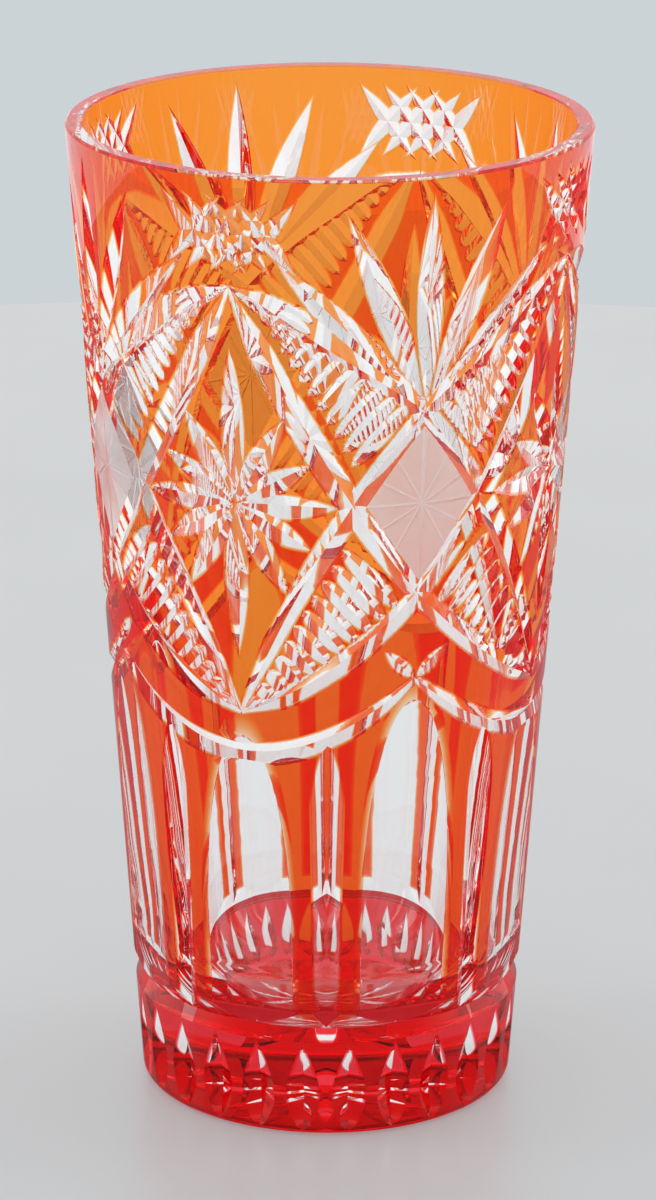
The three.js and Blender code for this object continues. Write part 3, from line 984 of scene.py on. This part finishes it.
# %% [markdown]
# ## Glass
#
# Lead crystal is nearly colourless and bends light strongly. Its colour layer is the same glass with
# metal salts melted in, so the colour is in its depth and not on its surface: an absorption does that,
# and deepens by itself where light runs through more than one layer.

# %% Helpers for materials


def srgb(code):
    """A hex colour as the linear values that nodes take."""
    parts = [int(code[i:i + 2], 16) / 255 for i in (1, 3, 5)]
    return [p / 12.92 if p <= 0.04045 else ((p + 0.055) / 1.055) ** 2.4 for p in parts] + [1.0]


def add(tree, kind, inputs=None, **settings):
    """Adds a node. An input, by its name or number, takes a value or another node's output."""
    node = tree.nodes.new(kind)
    for key, value in settings.items():
        setattr(node, key, value)
    for key, value in (inputs or {}).items():
        if isinstance(value, bpy.types.NodeSocket):
            tree.links.new(value, node.inputs[key])
        else:
            node.inputs[key].default_value = value
    return node


def blend(tree, share, low, high):
    return add(tree, "ShaderNodeMix", {0: share, 6: low, 7: high}, data_type="RGBA").outputs[2]


def calculate(tree, operation, first, second):
    return add(tree, "ShaderNodeMath", {0: first, 1: second}, operation=operation).outputs[0]


def fade(tree, value, start, end, low=0.0, high=1.0, curve="LINEAR"):
    """Runs from low, where the value is at start, to high at end, and stays there beyond them."""
    return add(tree, "ShaderNodeMapRange", {
        "Value": value, "From Min": start, "From Max": end, "To Min": low, "To Max": high},
        interpolation_type=curve).outputs[0]


def empty_tree(owner):
    owner.use_nodes = True
    owner.node_tree.nodes.clear()
    return owner.node_tree


RIPPLE_LENGTH = 0.012  # metres, from crest to crest
RIPPLE_HEIGHT = 0.0001
RIPPLE_STRENGTH = 0.1


def liquid_shine(tree, here):
    """A normal with the faint ripple that an acid polish leaves on glass."""
    ripple = add(tree, "ShaderNodeTexNoise", {"Vector": here, "Scale": 1 / RIPPLE_LENGTH, "Detail": 1.0})
    return add(tree, "ShaderNodeBump", {
        "Height": ripple.outputs[0], "Strength": RIPPLE_STRENGTH, "Distance": RIPPLE_HEIGHT}).outputs[0]


print("Ripple length:", RIPPLE_LENGTH, "m")

# %% Clear lead crystal, wheel cut and acid polished
GRAIN_SIZE = 0.00035
GRAIN_HEIGHT = 0.00005
FROST_ROUGHNESS = 0.42
FROST_LETS_THROUGH = 0.82


def make_crystal():
    # Acid polish leaves a liquid shine with a faint ripple of about 12 mm. The frosted panels are ground
    # with fine grit, and their grain is drawn at 0.35 mm, which is coarser than real, so that it shows.
    # A frosted face also scatters some light back, so the panels look whiter than the crystal round them.
    material = bpy.data.materials.new("lead_crystal_acid_polished")
    tree = empty_tree(material)
    here = add(tree, "ShaderNodeTexCoord").outputs["Object"]
    index = add(tree, "ShaderNodeAttribute", attribute_name="glass_index").outputs["Fac"]
    frost = add(tree, "ShaderNodeAttribute", attribute_name="frost").outputs["Fac"]
    grain = add(tree, "ShaderNodeTexNoise", {"Vector": here, "Scale": 1 / GRAIN_SIZE, "Detail": 2.0})
    matt = add(tree, "ShaderNodeBump", {
        "Height": grain.outputs[0], "Strength": frost, "Distance": GRAIN_HEIGHT,
        "Normal": liquid_shine(tree, here)})
    glass = add(tree, "ShaderNodeBsdfPrincipled", {
        "Base Color": srgb("#FEFFFF"),
        "Transmission Weight": fade(tree, frost, 0.0, 1.0, 1.0, FROST_LETS_THROUGH),
        "Roughness": calculate(tree, "MULTIPLY", frost, FROST_ROUGHNESS),
        "IOR": index, "Normal": matt.outputs[0]})
    add(tree, "ShaderNodeOutputMaterial", {"Surface": glass.outputs[0]})
    return material


crystal.data.materials.append(make_crystal())
print("Crystal index", CRYSTAL_IOR)

# %% [markdown]
# The colour of the real layer runs from orange at the rim to red at the foot, as a colour does that
# deepens with heat and thickness. Each slot has its own absorption, as coefficients for each mm of depth,
# and a slight tint that changes with height carries the change on within a slot.

# %% Coloured crystal layers


def make_casing(name, absorbs, span, top_tint, low_tint):
    # The same glass as the blank, fused on as a skin, so it has the blank's index and shine.
    material = bpy.data.materials.new(name)
    tree = empty_tree(material)
    here = add(tree, "ShaderNodeTexCoord").outputs["Object"]
    index = add(tree, "ShaderNodeAttribute", attribute_name="glass_index").outputs["Fac"]
    height = add(tree, "ShaderNodeSeparateXYZ", {0: here}).outputs["Z"]
    share = fade(tree, height, span[0] * MM, span[1] * MM)
    glass = add(tree, "ShaderNodeBsdfPrincipled", {
        "Base Color": blend(tree, share, srgb(low_tint), srgb(top_tint)), "Transmission Weight": 1.0,
        "Roughness": 0.0, "IOR": index, "Normal": liquid_shine(tree, here)})
    strongest = max(absorbs)
    depth_colour = add(tree, "ShaderNodeVolumeAbsorption", {
        "Color": [1 - a / strongest for a in absorbs] + [1.0], "Density": strongest / MM})
    add(tree, "ShaderNodeOutputMaterial", {"Surface": glass.outputs[0], "Volume": depth_colour.outputs[0]})
    return material


finishes = {
    "casing_orange": make_casing(
        "orange_cased_crystal", (0.0, 2.85, 8.5), (114, 250), "#FFE8CE", "#FFDCB0"),
    "casing_vermilion": make_casing(
        "vermilion_cased_crystal", (0.03, 4.6, 10.0), (34, 123), "#FFE0C0", "#FFCFB8"),
    "casing_red": make_casing(
        "red_cased_crystal", (0.15, 7.0, 6.0), (0, 26), "#FFD0CC", "#FFD0D0"),
}
for field, piece in casings.items():
    piece.data.materials.append(finishes[SLOTS[field.split("_")[0]]])
print("Finishes:", sorted(finishes))

# %% [markdown]
# ## The set
#
# The vase stands on a pale paper inside a light tent. The floor is a disc that ends where the photograph
# has its faint horizon. Part of the paper's brightness is a painted glow that no lamp gives, so that the
# lamps can stay plain and its shadow stays soft. The glow is there for the camera, and, as painted light in
# the vase's shadow, for what is seen through the glass right under the vase. The paper's mirror image on
# the outside of the glass is a painted grey shade, which keeps the red of the foot deep.

# %% Floor
FLOOR_RADIUS = 0.77
AIR_UNDER_BASE = 0.1 * MM  # the base and the floor can't share a plane
FIBRE_SCALE = 9.0
PAPER_LIT = 0.6
PAPER_GLOW = 0.42
# The glow under the vase is painted light in the vase's own shadow.
GLOW_UNDER_VASE_RADII = (0.045, 0.055)  # radii between which the glow under the vase fades out


def make_paper():
    # Matt background paper, coated: pale, with only a hint of sheen near the foot.
    material = bpy.data.materials.new("matt_background_paper")
    tree = empty_tree(material)
    here = add(tree, "ShaderNodeTexCoord").outputs["Object"]
    path = add(tree, "ShaderNodeLightPath").outputs
    camera, refracted = path["Is Camera Ray"], path["Is Transmission Ray"]
    fibre = add(tree, "ShaderNodeTexNoise", {"Vector": here, "Scale": FIBRE_SCALE, "Detail": 3.0})
    seen = blend(tree, fibre.outputs[0], srgb("#C4C6C7"), srgb("#CCCECF"))
    lit = blend(tree, PAPER_LIT, (0, 0, 0, 1), seen)
    # A refracted ray counts as glossy too, so a mirror image is what is glossy and isn't refracted.
    mirrored = add(tree, "ShaderNodeMath", {
        0: path["Is Glossy Ray"], 1: refracted}, operation="SUBTRACT", use_clamp=True).outputs[0]
    # Away from the camera the paper is a whiter, lit copy of itself, and in a mirror image on the glass it
    # is a painted grey shade.
    unseen = blend(tree, mirrored, srgb("#F4F5F6"), srgb("#85878A"))
    away = add(tree, "ShaderNodeVectorMath", {0: here}, operation="LENGTH").outputs["Value"]
    # Painted light: the paper glows for the camera, which softens its shadow, and it glows right under the
    # vase when seen through the glass, as if the vase cast no shadow there.
    painted_light_under_vase = fade(tree, away, *GLOW_UNDER_VASE_RADII, 1.0, 0.0)
    shown = calculate(tree, "MAXIMUM", camera, calculate(tree, "MULTIPLY", painted_light_under_vase, refracted))
    paper = add(tree, "ShaderNodeBsdfPrincipled", {
        "Base Color": blend(tree, camera, unseen, lit), "Roughness": 0.35, "Emission Color": seen,
        "Emission Strength": calculate(tree, "MULTIPLY", shown, PAPER_GLOW)})
    add(tree, "ShaderNodeOutputMaterial", {"Surface": paper.outputs[0]})
    return material


def make_floor():
    bm = bmesh.new()
    bmesh.ops.create_circle(bm, cap_ends=True, segments=128, radius=FLOOR_RADIUS)
    bmesh.ops.translate(bm, vec=(0, 0, -AIR_UNDER_BASE), verts=bm.verts)
    mesh = bpy.data.meshes.new("paper_floor")
    bm.to_mesh(mesh)
    bm.free()
    mesh.materials.append(make_paper())
    floor = bpy.data.objects.new("paper_floor", mesh)
    bpy.context.scene.collection.objects.link(floor)


make_floor()
print("Floor radius", FLOOR_RADIUS, "m")

# %% [markdown]
# The world is the tent. The camera sees its plain back wall. Its front, where a real camera looks in, is
# darker from the table up to the roof, which gives the glass its grey reflections. Light that comes
# through the glass sees less of that dark part, because it would make the clear cuts dull. In the code,
# Z is how far up a ray points, and Y how far away from the camera.

# %% Light tent
DARK_SHARE_INSIDE = 0.35
LAMP_TARGET = (0, 0, 0.12)
LAMP_WIDTH, LAMP_HEIGHT = 0.5, 0.9
LAMP_RADIANCE = 2.0


def make_world():
    world = bpy.data.worlds.new("light_tent")
    tree = empty_tree(world)
    path = add(tree, "ShaderNodeLightPath").outputs
    direction = add(tree, "ShaderNodeTexCoord").outputs["Generated"]
    parts = add(tree, "ShaderNodeSeparateXYZ", {0: direction}).outputs
    above_table = fade(tree, parts["Z"], -0.05, 0.15, curve="SMOOTHSTEP")
    in_front = fade(tree, parts["Y"], 0.1, -0.6, curve="SMOOTHSTEP")
    below_roof = fade(tree, parts["Z"], 0.65, 0.85, 1.0, 0.0)
    inside = fade(tree, path["Is Transmission Ray"], 0.0, 1.0, 1.0, DARK_SHARE_INSIDE)
    dark = calculate(tree, "MULTIPLY", above_table, in_front)
    for factor in (below_roof, inside):
        dark = calculate(tree, "MULTIPLY", dark, factor)
    wall = blend(tree, dark, srgb("#F8F9FA"), srgb("#7C7F84"))
    colour = blend(tree, path["Is Camera Ray"], wall, srgb("#CBD3D6"))
    tent = add(tree, "ShaderNodeBackground", {"Color": colour, "Strength": 1.0})
    add(tree, "ShaderNodeOutputWorld", {"Surface": tent.outputs[0]})
    bpy.context.scene.world = world


def softbox(name, spot):
    """An area lamp that shines with a given radiance, so its power follows from its size."""
    lamp = bpy.data.lights.new(name, "AREA")
    lamp.shape, lamp.size, lamp.size_y = "RECTANGLE", LAMP_WIDTH, LAMP_HEIGHT
    lamp.energy = LAMP_RADIANCE * math.pi * LAMP_WIDTH * LAMP_HEIGHT
    holder = bpy.data.objects.new(name, lamp)
    holder.location = spot
    holder.rotation_euler = (Vector(LAMP_TARGET) - Vector(spot)).to_track_quat("-Z", "Y").to_euler()
    bpy.context.scene.collection.objects.link(holder)


make_world()
softbox("left_softbox", (-1.4, 0.1, 0.8))
softbox("right_softbox", (1.4, 0.3, 0.8))

# %% [markdown]
# The photograph was taken from above the rim with a long lens. The camera's focal length, height and tilt
# were fitted to the outline of the vase, and its slight roll to the axis. Light takes many turns inside
# cut glass, so a path may cross more faces here than it usually may before it ends.

# %% Camera
FOCAL_LENGTH, SENSOR_WIDTH = 159.0, 36.0
CAMERA_PLACE = (0, -1.2686, 0.5416)
CAMERA_PITCH = 0.3165  # radians below level
CAMERA_ROLL = 0.0043
GLASS_BOUNCES = 48  # a path crosses many faces in cut glass
GLOSSY_BOUNCES = 24
TRANSPARENT_BOUNCES = 16


def make_camera():
    lens = bpy.data.cameras.new("camera")
    lens.lens, lens.sensor_width = FOCAL_LENGTH, SENSOR_WIDTH
    camera = bpy.data.objects.new("camera", lens)
    camera.location = CAMERA_PLACE
    pitch = Matrix.Rotation(math.pi / 2 - CAMERA_PITCH, 4, "X")
    camera.rotation_euler = (pitch @ Matrix.Rotation(CAMERA_ROLL, 4, "Z")).to_euler()
    bpy.context.scene.collection.objects.link(camera)
    bpy.context.scene.camera = camera


make_camera()
scene = bpy.context.scene
scene.view_settings.view_transform = "Standard"
scene.cycles.max_bounces = scene.cycles.transmission_bounces = GLASS_BOUNCES
scene.cycles.glossy_bounces = GLOSSY_BOUNCES
scene.cycles.transparent_max_bounces = TRANSPARENT_BOUNCES
print("Camera at", tuple(scene.camera.location))
